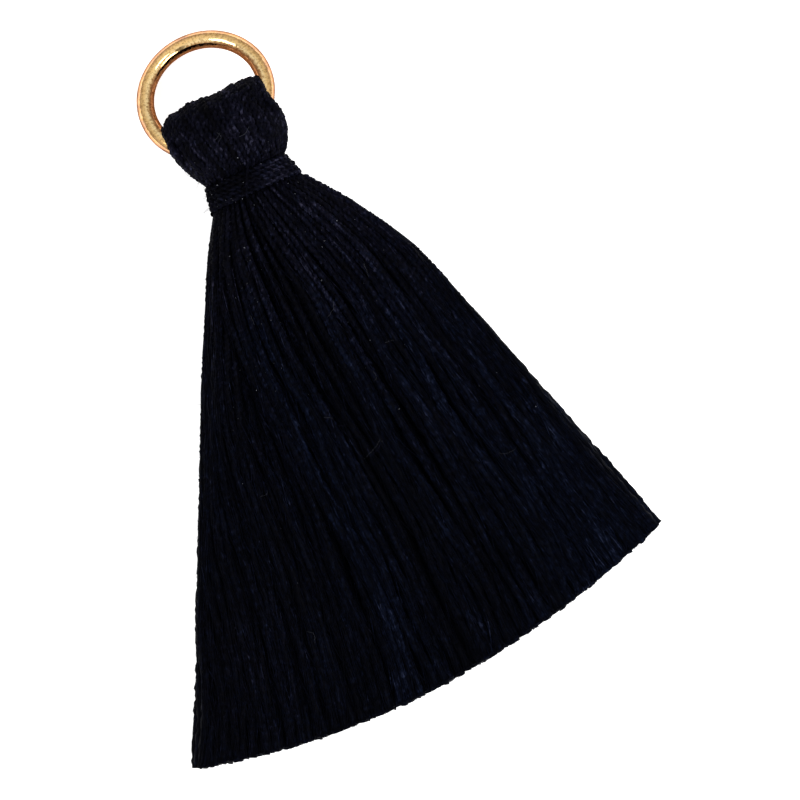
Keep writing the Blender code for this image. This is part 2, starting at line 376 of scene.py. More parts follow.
class Tubes:
    """Collects tubes and makes them into one mesh."""

    def __init__(self):
        self.count = 0
        self.corners, self.quads, self.caps, self.lengths = [], [], [], []
        self.grain, self.tones, self.blues, self.crests = [], [], [], []
        self.spines, self.anchors = [], []

    def add(self, points, reach, turns, hint, tone, blue=0.0):
        """Add one closed tube along points (n, 3), which are in the tassel's measures.

        reach (n, sides) holds the section's radii once round, turns the angle that the section has
        turned by at each point, and hint the direction from which that angle counts.
        """
        length = running(np.linalg.norm(np.diff(points, axis=0), axis=1))
        tangent = np.gradient(points, axis=0)
        tangent /= np.linalg.norm(tangent, axis=1)[:, None]
        hint = np.broadcast_to(hint, points.shape)
        side = hint - (hint * tangent).sum(1)[:, None] * tangent
        side /= np.linalg.norm(side, axis=1)[:, None]
        lift = np.cross(side, tangent)
        rows, sides = reach.shape
        radius = reach.max(1)
        angle = turns[:, None] + FULL_TURN * np.arange(sides)[None, :] / sides
        sideways, upward = reach * np.cos(angle), reach * np.sin(angle)
        ring = points[:, None, :] + sideways[:, :, None] * side[:, None, :]
        ring = ring + upward[:, :, None] * lift[:, None, :]
        grid = self.count + np.arange(rows * sides).reshape(rows, sides)
        after = np.roll(grid, -1, axis=1)
        quads = np.stack([grid[:-1], grid[1:], after[1:], after[:-1]], axis=2)
        grain = np.stack([sideways, upward, np.repeat(length, sides).reshape(rows, sides)], 2)
        self.quads.append(quads.reshape(-1, 4))
        self.caps.append(np.stack([grid[0], grid[-1][::-1]]))
        self.lengths.append(length)
        self.corners.append(ring.reshape(-1, 3))
        self.grain.append(grain.reshape(-1, 3) + random.uniform(0.0, GRAIN_SPREAD, 3))
        self.tones.append(np.repeat(np.broadcast_to(tone, rows), sides))
        self.blues.append(np.repeat(np.broadcast_to(blue, rows), sides))
        # How far out each point lies, as a share of the full radius: the yarn's material darkens points
        # further in as painted shade between the plies.
        self.crests.append((reach / radius[:, None]).ravel())
        self.spines.append(np.column_stack([points, radius]))
        self.count += rows * sides


class TopSurface:
    """How high the yarn reaches, kept on a grid of places."""

    CELL = 0.08
    REACH = 4

    def __init__(self, batches):
        spine = np.concatenate([spine for batch in batches for spine in batch.spines])
        self.low = spine[:, :2].min(0) - self.REACH * self.CELL
        cells = self.cells_at(spine[:, 0], spine[:, 1])
        self.grid = np.zeros(cells.max(1) + self.REACH + 1)
        steps = np.arange(-self.REACH, self.REACH + 1)
        for across_step, down_step in [(across, down) for across in steps for down in steps]:
            away = self.CELL * math.hypot(across_step, down_step)
            inside = spine[:, 3] > away
            tops = spine[inside, 2] + np.sqrt(spine[inside, 3] ** 2 - away ** 2)
            spots = cells[0, inside] + across_step, cells[1, inside] + down_step
            np.maximum.at(self.grid, spots, tops)

    def cells_at(self, across, down):
        offsets = np.stack([across - self.low[0], down - self.low[1]])
        return np.rint(offsets / self.CELL).astype(int)

    def height(self, across, down):
        cells = self.cells_at(across, down)
        columns, rows = (np.clip(cells[axis], 0, self.grid.shape[axis] - 1) for axis in (0, 1))
        return self.grid[columns, rows]


def to_frame(points):
    """Points in the frame, in metres, from the tassel's measures in millimetres."""
    return np.stack([points[:, 0] + AXIS_ACROSS, RING_DOWN - points[:, 1], points[:, 2]], 1) * MM


def strip_map(tubes, sides):
    """A flat place for every face corner: each tube is a strip, and the strips fill a square in rows.

    The caps are small circles at the ends of their tube's strip.
    """
    total = sum(length[-1] for length in tubes.lengths)
    width = np.mean([spine[:, 3].mean() for spine in tubes.spines]) * 2.0 * math.pi
    count = len(tubes.lengths)
    columns = int(np.clip(math.sqrt(total / width), 1, count))
    cell = np.array([1.0 / columns, 1.0 / math.ceil(count / columns)])
    around = STRIP_AROUND[0] + STRIP_AROUND[1] * np.arange(sides + 1) / sides
    circle = FULL_TURN * np.arange(sides) / sides
    cap = np.column_stack([np.cos(circle), np.sin(circle)]) * CAP_SIZES
    quad_places, cap_places = [], []
    for index, length in enumerate(tubes.lengths):
        corner = np.array([index % columns, index // columns]) * cell
        across, along = np.meshgrid(around, STRIP_ALONG[0] + STRIP_ALONG[1] * length / length[-1])
        grid = corner + np.stack([across, along], 2) * cell
        quads = np.stack([grid[:-1, :-1], grid[1:, :-1], grid[1:, 1:], grid[:-1, 1:]], 2)
        quad_places.append(quads.reshape(-1, 2))
        for middle, order in CAP_PLACES:
            cap_places.append((corner + ([0.5, middle] + cap) * cell)[::order])
    return np.concatenate(quad_places + cap_places)


def add_field(mesh, name, values):
    """Give each point of a mesh a number, or a vector where values has rows."""
    kind, slot_name = ("FLOAT", "value") if values.ndim == 1 else ("FLOAT_VECTOR", "vector")
    field = mesh.attributes.new(name, kind, "POINT")
    field.data.foreach_set(slot_name, values.astype(np.float32).ravel())


def add_object(mesh, places, material):
    """Put a mesh in the scene, with the flat place of each face corner and its material."""
    mesh.uv_layers.new(name="OFBake")
    mesh.uv_layers["OFBake"].uv.foreach_set("vector", places.astype(np.float32).ravel())
    mesh.materials.append(material)
    piece = bpy.data.objects.new(mesh.name, mesh)
    bpy.context.scene.collection.objects.link(piece)
    return piece


def make_piece(name, tubes, material, slot, *nodes):
    """Make the collected tubes one smooth mesh, which stands for the named nodes of the frame."""
    corners = to_frame(np.concatenate(tubes.corners))
    corners[:, 2] = np.maximum(corners[:, 2], 0.0)
    quads, caps = np.concatenate(tubes.quads), np.concatenate(tubes.caps)
    loops = np.concatenate([quads.ravel(), caps.ravel()]).astype(np.int32)
    cap_starts = 4 * len(quads) + caps.shape[1] * np.arange(len(caps))
    starts = np.concatenate([4 * np.arange(len(quads)), cap_starts]).astype(np.int32)
    mesh = bpy.data.meshes.new(name)
    mesh.vertices.add(len(corners))
    mesh.vertices.foreach_set("co", corners.astype(np.float32).ravel())
    mesh.loops.add(len(loops))
    mesh.loops.foreach_set("vertex_index", loops)
    mesh.polygons.add(len(starts))
    mesh.polygons.foreach_set("loop_start", starts)
    mesh.update(calc_edges=True)
    fields = {"grain": tubes.grain, "tone": tubes.tones, "blue": tubes.blues, "crest_shade": tubes.crests}
    for field, parts in fields.items():
        add_field(mesh, field, np.concatenate(parts))
    is_cap = np.arange(len(starts)) >= len(quads)
    mesh.attributes.new("sharp_face", "BOOLEAN", "FACE").data.foreach_set("value", is_cap)
    piece = add_object(mesh, strip_map(tubes, caps.shape[1]), material)
    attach(piece, "root")
    if nodes:
        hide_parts(*nodes)


def curve_at(knots, where):
    """Points on the smooth curve through knots (n, 3), at places counted in knots."""
    slope = np.gradient(knots, axis=0)
    index = np.clip(where.astype(int), 0, len(knots) - 2)
    share = (where - index)[:, None]
    square, cube = share ** 2, share ** 3
    middle = (2.0 * cube - 3.0 * square) * (knots[index] - knots[index + 1]) + knots[index]
    return middle + (cube - 2.0 * square + share) * slope[index] + (cube - square) * slope[index + 1]


def even_places(knots, spacing):
    """Places in knots, evenly spaced by length along the curve through them, and that length."""
    dense = np.linspace(0.0, len(knots) - 1.0, CURVE_SAMPLES * len(knots))
    length = running(np.linalg.norm(np.diff(curve_at(knots, dense), axis=0), axis=1))
    count = max(2, int(round(length[-1] / spacing)) + 1)
    return np.interp(np.linspace(0.0, length[-1], count), length, dense), length[-1]


def add_strand(tubes, knots, radius, tone, blue=0.0, depth=PLY_DEPTH, twist=1.0, hint=RIGHT, shown=None):
    """Add a two-ply strand through knots.

    Its radius, tone and blue, the depth between its plies and how much it twists may be given at each
    knot, and so may whether it is shown. Where it isn't shown it is made coarsely.
    """
    numbers = np.arange(len(knots))
    places, length = even_places(knots, RING_SPACING)
    columns = [
        np.interp(places, numbers, np.broadcast_to(values, len(knots)))
        for values in (radius, tone, blue, depth, twist)
    ]
    step = np.where(columns[-1] > HARDLY_TWISTS, 1, PLAIN_STEP)
    if shown is not None:
        step[np.interp(places, numbers, shown.astype(float)) < 0.01] = HIDDEN_STEP
    keep = np.arange(len(places)) % step == 0
    keep[-1] = True
    columns += [places, np.linspace(0.0, length, len(places)), step]
    radius, tone, blue, depth, twist, places, positions, step = (column[keep] for column in columns)
    gaps = np.diff(positions)
    turned = running(gaps * twist[:-1] * (gaps < WIDE_GAP * RING_SPACING))
    rate = 1.0 + PLY_TURN_SPREAD * random.uniform(-1.0, 1.0)
    drift = 1.5 * PLY_TURN_SPREAD * np.sin(turned * random.uniform(0.5, 1.1) + random.uniform(0.0, 6.3))
    turns = random.uniform(0.0, math.pi) + FULL_TURN * rate * turned / PLY_TURN + drift
    radius = radius * (1.0 + UNEVEN_RADIUS * random.normal(0.0, 1.0, len(places)).clip(*UNEVEN_LIMITS))
    reach = radius[:, None] * (1.0 - depth[:, None] * PLY_SHAPE[None, :])
    points = curve_at(knots, places) + random.normal(0.0, UNEVEN_PATH, (len(places), 3))
    tubes.add(points, reach, turns, hint, tone, blue)
    fine_rows = np.flatnonzero(step < HIDDEN_STEP)[2:-6]
    if len(fine_rows):
        count = random.poisson(step[fine_rows].sum() * RING_SPACING * FIBRES_A_MM)
        for row in random.choice(fine_rows, count):
            tubes.anchors.append((points[row], points[row + 1] - points[row], radius[row]))


# ---------------------------------------------------------------- the skirt's pieces

# Bands along the skirt that are lighter, darker or bluer, partly painted light: lighter, bluer bands paint
# sheen on locks that catch the light, darker ones paint shade along the grooves, and near the neck the right
# side is painted lighter and the left darker. Their place along the cut edge, half width, tone, how blue they
# are, and where along the skirt they start and end.
SHEEN_SHADE_AND_TONE_BANDS = [
    (0.170, 0.150, -0.9, 0.0, -0.10, 0.26), (0.283, 0.014, -1.0, 0.0, 0.45, 0.80),
    (0.335, 0.014, -1.0, 0.0, 0.60, 1.15), (0.260, 0.012, 0.6, 0.1, 0.30, 0.65),
    (0.440, 0.016, 0.75, 0.6, 0.12, 1.15), (0.492, 0.018, 0.65, 0.7, 0.12, 1.15),
    (0.470, 0.030, 0.4, 0.4, 0.72, 0.90), (0.530, 0.009, 0.6, 0.1, 0.18, 0.75),
    (0.590, 0.030, -0.9, 0.0, 0.05, 0.48), (0.560, 0.020, -0.8, 0.0, 0.35, 1.15),
    (0.645, 0.014, 0.8, 0.4, 0.15, 0.88), (0.675, 0.032, -0.8, 0.0, -0.05, 0.28),
    (0.668, 0.010, -0.6, 0.0, 0.50, 0.92), (0.730, 0.012, 0.7, 0.2, 0.13, 0.88),
    (0.755, 0.014, -0.7, 0.0, 0.10, 0.45), (0.787, 0.020, 0.6, 0.4, 0.25, 1.10),
    (0.830, 0.012, 0.8, 0.2, 0.12, 0.96), (0.868, 0.016, -0.7, 0.0, 0.13, 0.52),
    (0.900, 0.016, 0.7, 0.3, 0.30, 1.05), (0.950, 0.012, 0.7, 0.2, 0.33, 0.96),
    (0.870, 0.080, 0.7, 0.3, 0.66, 1.20), (0.700, 0.250, 0.3, 0.0, -0.20, 0.16),
    (0.100, 0.120, -0.5, 0.0, 0.25, 0.75), (0.100, 0.180, 0.15, -0.35, 0.60, 1.20),
]
BAND_FADE = 0.12
# How strongly they show, by how far down the skirt.
BAND_STRENGTH = ([0.20, 0.50], [1.0, 1.6])
# The yarn's tone and how blue it is, from the neck to the cut edge.
ALONG_SKIRT = [0.0, 0.15, 0.35, 0.65, 1.0]
TONE_DOWN = [0.7, 0.6, -0.50, -0.95, -1.1]
BLUE_DOWN = [0.08, 0.26, 0.56, 0.75, 0.85]
SKIRT_TONE_SPREAD = 0.50
# Patches of lighter and darker yarn: how many values across and along, and how much they differ.
CLOUDS = (44, 7)
CLOUD_TONE = 0.58
TUFTS = (150, 22)
TUFT_TONE = 0.58
# Single strands that lie on top of the rest, at these places along the cut edge.
TOP_STRANDS = [0.262, 0.443, 0.490, 0.500, 0.531, 0.643, 0.652, 0.729, 0.786, 0.829, 0.899, 0.948]
TOP_LIFT = 0.45
TOP_LEAN = 1.15
TOP_WOBBLE = 0.004
TOP_WOBBLE_RATES = (9.0, 16.0)
# Where along the skirt strands begin to unravel, at the left edge and elsewhere, and how far they do.
EDGE_PLACE = 0.06
UNRAVEL_AT_EDGE = 0.45
UNRAVEL_AT = 0.22
UNRAVEL_LENGTH = 0.35
UNRAVEL_SHARE = 0.88
# How deep the plies' grooves are and how much the strands fluff out, from the neck to the cut ends.
SKIRT_PLY_DEPTH = ([0.05, 0.25, 0.50, 1.00], [0.85, 0.60, 0.50, 0.60])
SKIRT_FLUFF = ([0.15, 0.60, 1.00], [1.0, 1.22, 1.28])

# Loosened fibres that lie over the strands: how many, how far down (squared), their lengths and radii,
# how much they lean and run askew, how far they keep from the outline and how deep their ends lie, and
# how much their tone differs from that of the yarn under them.
FLUFF_FIBRES = 5800
FLUFF_FROM_TO = (0.004, 1.0)
FLUFF_PLACES = (0.005, 0.995)
FLUFF_LENGTHS = (1.0, 3.4)
FLUFF_RADII = (0.016, 0.046)
FLUFF_STEPS = 5
FLUFF_TAPER = (0.12, 0.76)
FLUFF_LEANS = (0.4, 1.4)
FLUFF_SKEW = 0.07
FLUFF_SHIFT = 0.15
FLUFF_MARGIN = 0.06
FLUFF_TONE_SPREAD = 0.65


def skirt_shades(place, along, patches):
    """The yarn's tone and how blue it is at a place along the cut edge, by how far down it is, with the
    bands' painted sheen and shade.
    """
    middle, width, band_tone, band_blue, start, end = np.array(SHEEN_SHADE_AND_TONE_BANDS).T[:, :, None]
    share = smooth_step(start, start + BAND_FADE, along) * smooth_step(end, end - BAND_FADE, along)
    share *= np.exp(-((place - middle) / width) ** 2)
    tone = np.interp(along, ALONG_SKIRT, TONE_DOWN)
    tone += np.interp(along, *BAND_STRENGTH) * (share * band_tone).sum(0)
    for lattice in patches:
        tone += read_lattice(lattice, place, along)
    return tone, np.interp(along, ALONG_SKIRT, BLUE_DOWN) + (share * band_blue).sum(0)


def skirt_twist(place, along):
    """How much the strands twist: towards the cut ends they unravel, at the left edge last."""
    start = UNRAVEL_AT_EDGE if place < EDGE_PLACE else UNRAVEL_AT
    return 1.0 - UNRAVEL_SHARE * smooth_step(start, start + UNRAVEL_LENGTH, along)


def top_strand_knots(place, surface, meanders):
    """A strand that lies over the others, all down the skirt from just under the binding."""
    along = SKIRT_ALONG
    wobble = TOP_WOBBLE * np.sin(along * random.uniform(*TOP_WOBBLE_RATES) + random.uniform(0.0, 6.3))
    across, down = fan(lean_column(place + wobble, along, TOP_LEAN), along)
    across = across + MEANDER * smooth_step(*WANDER_RANGE, along) * read_lattice(meanders, place, along)
    height = surface.height(across, down)
    for _ in range(2):
        bridge(height)
        ease(height)
    sunk = STRAND_RADIUS * (1.0 + smooth_step(0.10, 0.0, along))
    return np.stack([across, down, height + TOP_LIFT * STRAND_RADIUS - sunk], 1)


def add_fluff(fluff, surface, patches):
    """One loosened fibre that lies over the strands, nearly along them."""
    place = random.uniform(*FLUFF_PLACES)
    start = math.sqrt(random.uniform(*FLUFF_FROM_TO))
    length = random.uniform(*FLUFF_LENGTHS)
    run = np.linspace(0.0, 1.0, FLUFF_STEPS)
    along = np.minimum(start + run * length / (EDGE_LOWEST_DOWN - SKIRT_START), FLUFF_PLACES[1])
    across, down = fan(lean_column(place, along, random.uniform(*FLUFF_LEANS)), along)
    bend = random.normal(0.0, FLUFF_SKEW) * run + random.normal(0.0, FLUFF_SKEW) * run ** 2
    across = across + length * bend + random.normal(0.0, FLUFF_SHIFT)
    left, right = read_table(SKIRT_OUTLINE, down)
    across = np.clip(across, left + FLUFF_MARGIN, right - FLUFF_MARGIN)
    height = surface.height(across, down)
    for _ in range(2):
        bridge(height)
    height[[0, -1]] -= FLUFF_MARGIN
    tone, blue = skirt_shades(place, along, patches)
    tone += random.normal(0.0, FLUFF_TONE_SPREAD)
    radius = random.uniform(*FLUFF_RADII) * np.sin(math.pi * (FLUFF_TAPER[0] + FLUFF_TAPER[1] * run))
    add_round(fluff, np.stack([across, down, height], 1), radius, tone, blue)


def make_skirt(material):
    """Make the skirt's strands, in pieces side by side, and the fluff over them.

    Returns the tubes of each piece, and the strands' cut ends.
    """
    meanders = random.normal(0.0, 1.0, MEANDERS)
    points, radii, places = lay_skirt(meanders, random.normal(0.0, 1.0, HUMPS))
    seen = seen_from(points, radii, 1) | seen_from(points, radii, -1)
    seen[1:] |= seen[:-1].copy()
    seen[:-1] |= seen[1:].copy()
    seen[-2:] = True
    patches = [random.normal(0.0, CLOUD_TONE, CLOUDS), random.normal(0.0, TUFT_TONE, TUFTS)]
    batches = [Tubes() for _ in range(SKIRT_PIECES)]
    ends = []

    def add_to_skirt(knots, radius, place, shown):
        last = knots[-1] - knots[-2]
        last /= np.linalg.norm(last)
        knots[-1] += random.uniform(-CUT_SPREAD, CUT_SPREAD) * last
        ends.append((knots[-1], last, radius[-1]))
        tone, blue = skirt_shades(place, SKIRT_ALONG, patches)
        tone += random.normal(0.0, SKIRT_TONE_SPREAD)
        depth = PLY_DEPTH * np.interp(SKIRT_ALONG, *SKIRT_PLY_DEPTH)
        fluffed = radius * np.interp(SKIRT_ALONG, *SKIRT_FLUFF)
        batch = batches[int(place * SKIRT_PIECES)]
        add_strand(batch, knots, fluffed, tone, blue, depth, skirt_twist(place, SKIRT_ALONG), shown=shown)

    for strand, place in enumerate(places):
        add_to_skirt(points[:, strand].copy(), radii[:, strand], place, seen[:, strand])
    surface = TopSurface(batches)
    for place in TOP_STRANDS:
        knots = top_strand_knots(place, surface, meanders)
        add_to_skirt(knots, np.full(SKIRT_ROWS, STRAND_RADIUS), place, None)
    for number, batch in enumerate(batches):
        make_piece("skirt_yarn_%d" % (number + 1), batch, material, "navy_yarn", "yarn_hank")
    fluff = Tubes()
    surface = TopSurface(batches)
    for _ in range(FLUFF_FIBRES):
        add_fluff(fluff, surface, patches)
    make_piece("skirt_fluff", fluff, material, "navy_yarn")
    return batches, ends


# ---------------------------------------------------------------- the head

# The head's section: down, left, right, the lowest and highest height, and how square its top and
# bottom are.
HEAD_SECTIONS = [
    (0.00, -3.36, 3.34, 0.00, 5.32, 2.1, 3.0),
    (1.60, -3.36, 3.34, 0.00, 5.32, 2.1, 3.0),
    (2.45, -3.26, 3.38, 0.00, 5.42, 2.1, 3.2),
    (3.20, -3.05, 3.32, 0.00, 5.34, 2.1, 3.2),
    (3.80, -2.82, 3.18, 0.00, 5.12, 2.1, 3.0),
    (4.30, -2.60, 3.02, 0.15, 4.70, 2.1, 2.6),
    (4.62, -2.44, 2.86, 0.34, 4.28, 2.1, 2.4),
    (4.95, -2.30, 2.48, 0.56, 3.92, 2.1, 2.4),
    (5.60, -2.38, 2.22, 0.62, 3.86, 2.1, 2.4),
]
HEAD_DOWNS = [5.5, 5.1, 4.85, 4.55, 4.20, 3.80, 3.20, 2.45, 2.00]
# Below this the shells lie closer together, by this share.
PINCHED_AT = 4.0
PINCHED_SHARE = 0.72
NOSE_STARTS_AT = 1.60
NOSE_POWER = 2.2
NOSE_STEPS = 9
# How far down the fold lies, by distance across: it falls away at both sides.
NOSE_ACROSS = [-3.02, -2.60, -1.74, -0.95, -0.30, 0.45, 1.60, 2.30, 2.70, 3.02]
NOSE_DOWN = [0.50, 0.10, -0.10, -0.13, -0.04, 0.09, 0.08, 0.15, 0.20, 0.32]
# The shells from the outside in: how many loops each has and how far across it goes. Then how far they
# lie inside each other, and where their loops are evenly spaced.
SHELLS = [(27, 2.98), (24, 2.62), (20, 2.20)]
SHELL_STEP = 0.34
SHELL_UNEVEN = 0.10
SPACED_AT = 2.0
HEAD_WOBBLE = 0.05
HEAD_WOBBLES = 5
# A loop's radius by distance down: its strand is squeezed at the neck.
LOOP_RADII = ([3.3, 4.7], [STRAND_RADIUS, 0.66 * STRAND_RADIUS])
# The head's tone by distance across and by distance down, and how it differs by strand and along one.
HEAD_TONE_ACROSS = [(-3.0, 1.5), (-0.8, 1.0), (0.3, 0.9), (3.0, 0.6)]
HEAD_TONE_DOWN = [(0.5, -0.3), (2.2, 0.1), (3.4, 0.5), (4.4, 0.2), (5.0, -0.6)]
HEAD_STRAND_SPREAD = 0.65
HEAD_MOTTLE = 0.65

# The outermost loops at each side hug the wire, then run down the flank: down and distance across.
FLANKS = {
    -1.0: [(5.40, 2.05), (4.90, 2.14), (4.35, 2.38), (3.70, 2.68), (3.00, 2.92), (2.45, 3.04), (1.95, 3.10)],
    1.0: [(5.40, 1.98), (5.02, 2.20), (4.75, 2.50), (4.40, 2.76), (3.70, 3.08), (2.85, 3.22), (1.95, 3.08)],
}
# How far from the middle of the wire each of them lies, and how far across it crosses the wire.
FLANK_LOOPS = [(0.74, 3.02), (0.80, 2.92), (1.08, 2.94)]
# How high the middle of the neck is, where down its two legs part and rise to the wire, how far apart
# they stay, how much nearer the axis the wider loops lie, and the angles of its bend round the wire.
FLANK_HEIGHT = 2.35
FLANK_PARTS = (5.2, 2.0)
FLANK_RISES = (4.0, 2.0)
FLANK_SPREAD = 0.16
FLANK_NESTING = 0.25
FLANK_BEND = np.radians(np.linspace(75.0, -75.0, 7))

# The loops inside the head, which fill it round the wire: how far from the middle of the wire they lie,
# how far their two legs lie from each other's middle at the neck, how many there are, and their reach.
CORE_LOOPS = [(0.74, 0.21, 13, 2.50), (1.20, 0.65, 11, 2.40), (1.65, 1.10, 11, 2.30)]
CORE_NECK_DOWN = 5.40
CORE_NECK_SHARE = 0.72
CORE_LEG = (0.0, 0.3, 0.6, 0.8)
CORE_BEND = np.linspace(0.5 * math.pi, -0.5 * math.pi, 7)
# How far they are kept from the head's upper and lower side, and how near its edges that is read.
CORE_DEPTH = 0.55
CORE_SIDE = 0.95
CORE_TONE = -0.2


def section_at(down, position):
    """The across, lower and upper height of the head at positions from -1 to 1."""
    left, right, *section = read_table(HEAD_SECTIONS, down)
    across = 0.5 * (left + right) + 0.5 * (right - left) * position
    return across, *section_heights(position, *section)


def even_positions(count, reach):
    """Positions across the head's upper side, evenly spaced along its arc, out to a distance across."""
    positions = np.linspace(-0.97, 0.97, 400)
    across, _, upper = section_at(SPACED_AT, positions)
    inside = np.abs(across) < reach
    arc = running(np.hypot(np.diff(across[inside]), np.diff(upper[inside])))
    return np.interp(np.linspace(0.0, arc[-1], count), arc, positions[inside])


def loop_knots(position, inset, wobble):
    """A loop of yarn over the ring: up the head's upper side, round its fold and back underneath."""
    over, back = [], []
    for index, down in enumerate(HEAD_DOWNS):
        across, lower, upper = section_at(down, position)
        shift = wobble[index % len(wobble)]
        depth = inset * (1.0 if down < PINCHED_AT else PINCHED_SHARE)
        over.append((across + shift, down, upper - depth))
        back.append((across - shift, down, lower + depth))
    across, lower, upper = section_at(NOSE_STARTS_AT, position)
    upper, lower = upper - inset, lower + inset
    middle = 0.5 * (upper + lower)
    tip = float(np.interp(across, NOSE_ACROSS, NOSE_DOWN)) + inset
    nose = []
    for angle in np.linspace(0.5 * math.pi, -0.5 * math.pi, NOSE_STEPS):
        forward = signed_power(math.cos(angle), 2.0 / NOSE_POWER)
        upward = signed_power(math.sin(angle), 2.0 / NOSE_POWER)
        down = NOSE_STARTS_AT - (NOSE_STARTS_AT - tip) * forward
        nose.append((across, down, middle + (upper - middle) * upward))
    return np.array(over + nose + back[::-1])


def wire_place(across):
    """How far down and how high the middle of the wire is inside the head, at a distance across."""
    root = math.sqrt(RING_RADIUS ** 2 - across ** 2)
    return root * math.cos(RING_TILT), RING_HEIGHT + root * math.sin(RING_TILT)


def bend_round_wire(across, reach, angles):
    """The part of a loop that bends round the wire, at a distance from its middle."""
    down, height = wire_place(across)
    return [(across, down - reach * math.cos(angle), height + reach * math.sin(angle)) for angle in angles]


def flank_knots(side, reach, across):
    """A loop at the head's side, tight round the ring's wire."""
    wire_height = wire_place(across)[1]
    legs = {1.0: [], -1.0: []}
    for end, leg in legs.items():
        for down, out in FLANKS[side]:
            spread = reach * float(smooth_step(*FLANK_PARTS, down)) + FLANK_SPREAD
            middle = FLANK_HEIGHT + (wire_height - FLANK_HEIGHT) * float(smooth_step(*FLANK_RISES, down))
            out = out - FLANK_NESTING * (reach - FLANK_LOOPS[0][0])
            leg.append((side * out, down, middle + end * spread))
    return np.array(legs[1.0] + bend_round_wire(side * across, reach, FLANK_BEND) + legs[-1.0][::-1])


def under_shell(across, down, height):
    """A height in the head, kept CORE_DEPTH below its upper side and above its lower one."""
    left, right = section_at(down, -1.0)[0], section_at(down, 1.0)[0]
    position = np.clip((2.0 * across - left - right) / (right - left), -CORE_SIDE, CORE_SIDE)
    _, lower, upper = section_at(down, position)
    return float(np.clip(height, lower + CORE_DEPTH, upper - CORE_DEPTH))


def core_knots(across, reach, neck_spread):
    """A loop inside the head, round the ring's wire and back to the neck."""
    wire_down, wire_height = wire_place(across)
    legs = {1.0: [], -1.0: []}
    for end, leg in legs.items():
        for along in CORE_LEG:
            down = CORE_NECK_DOWN + (wire_down - CORE_NECK_DOWN) * along
            middle = FLANK_HEIGHT + (wire_height - FLANK_HEIGHT) * along
            spread = neck_spread + (reach - neck_spread) * along ** 2
            out = across * (CORE_NECK_SHARE + (1.0 - CORE_NECK_SHARE) * along)
            leg.append((out, down, middle + end * spread))
    path = legs[1.0] + bend_round_wire(across, reach, CORE_BEND) + legs[-1.0][::-1]
    return np.array([(out, down, under_shell(out, down, height)) for out, down, height in path])


def head_tone(knots):
    """The yarn's tone at each knot of a strand in the head."""
    tone = np.interp(knots[:, 0], *zip(*HEAD_TONE_ACROSS)) + np.interp(knots[:, 1], *zip(*HEAD_TONE_DOWN))
    tone += random.normal(0.0, HEAD_MOTTLE, len(knots))
    return tone + random.normal(0.0, HEAD_STRAND_SPREAD)


def add_loop(tubes, knots, tone, is_shown):
    """Add a loop of the head, coarsely where it isn't shown."""
    shown = None if is_shown else np.zeros(len(knots), bool)
    add_strand(tubes, knots, np.interp(knots[:, 1], *LOOP_RADII), tone, shown=shown)


def make_head(material):
    """All the loops round the ring: at its sides, in shells one inside the other, and the filling."""
    tubes = Tubes()
    for side in FLANKS:
        for reach, across in FLANK_LOOPS:
            knots = flank_knots(side, reach, across)
            add_loop(tubes, knots, head_tone(knots), True)
    for shell, (count, reach) in enumerate(SHELLS):
        inset = STRAND_RADIUS + shell * SHELL_STEP
        for position in even_positions(count, reach):
            wobble = random.normal(0.0, HEAD_WOBBLE, HEAD_WOBBLES)
            knots = loop_knots(position, inset + random.uniform(0.0, SHELL_UNEVEN), wobble)
            add_loop(tubes, knots, head_tone(knots), shell == 0)
    for reach, neck_spread, count, furthest in CORE_LOOPS:
        for across in np.linspace(-furthest, furthest, count):
            knots = core_knots(across, reach, neck_spread)
            add_loop(tubes, knots, CORE_TONE, abs(across) == furthest)
    make_piece("head_yarn", tubes, material, "navy_yarn", "yarn_hank")
    return tubes


# ---------------------------------------------------------------- the binding

# The binding's section: down, left, right, and the lowest and highest height.
BINDING_SECTIONS = [
    (4.66, -2.58, 2.60, 0.20, 4.25), (5.30, -2.74, 2.54, 0.18, 4.34),
    (6.00, -2.91, 2.76, 0.18, 4.42), (6.60, -3.07, 2.88, 0.20, 4.46),
]
BINDING_TURNS = 5
BINDING_STEPS = 36
BINDING_SQUARE = 0.9
BINDING_RADIUS = 0.185
BINDING_UNEVEN = 0.012
BINDING_PLY_DEPTH = 0.45
# The binding's tone by distance across and by distance down, which is painted light and shade: lighter at its
# right side and lower turns, darker at its top under the head. Then how much it varies, and how blue it is.
BINDING_PAINTED_LIGHT_ACROSS = [(-2.4, 0.4), (-0.6, -0.1), (0.4, 1.2), (1.4, 2.9), (2.4, 1.6)]
BINDING_PAINTED_LIGHT_DOWN = [(4.8, -1.0), (5.5, 0.0), (6.3, 0.9)]
BINDING_TONE_SPREAD = 0.5
BINDING_BLUE = 0.15
# Where down the first and the last turn lie, at the left and at the right side.
BINDING_LEFT = (4.80, 6.14)
BINDING_RIGHT = (5.08, 6.36)
# The binding's loose end, which crosses the turns.
TAIL = [(0.55, 4.35, 4.42), (0.22, 4.75, 4.33), (-0.05, 5.20, 4.44), (-0.30, 5.65, 4.49), (-0.62, 6.25, 4.53)]
TAIL_RADIUS = 0.35 * STRAND_RADIUS
TAIL_TONE = 1.2


def binding_point(turn):
    """A point of the binding's winding, turn counted in turns from its start at the left side."""
    across_share = -signed_power(math.cos(FULL_TURN * turn), BINDING_SQUARE)
    height_share = signed_power(math.sin(FULL_TURN * turn), BINDING_SQUARE)
    share = turn / BINDING_TURNS
    at_left, at_right = (first + (last - first) * share for first, last in (BINDING_LEFT, BINDING_RIGHT))
    down = at_left + (at_right - at_left) * 0.5 * (1.0 + across_share)
    left, right, under, top = read_table(BINDING_SECTIONS, down)
    across = 0.5 * (left + right) + (0.5 * (right - left) - BINDING_RADIUS) * across_share
    height = 0.5 * (under + top) + (0.5 * (top - under) - BINDING_RADIUS) * height_share
    return across, down, height


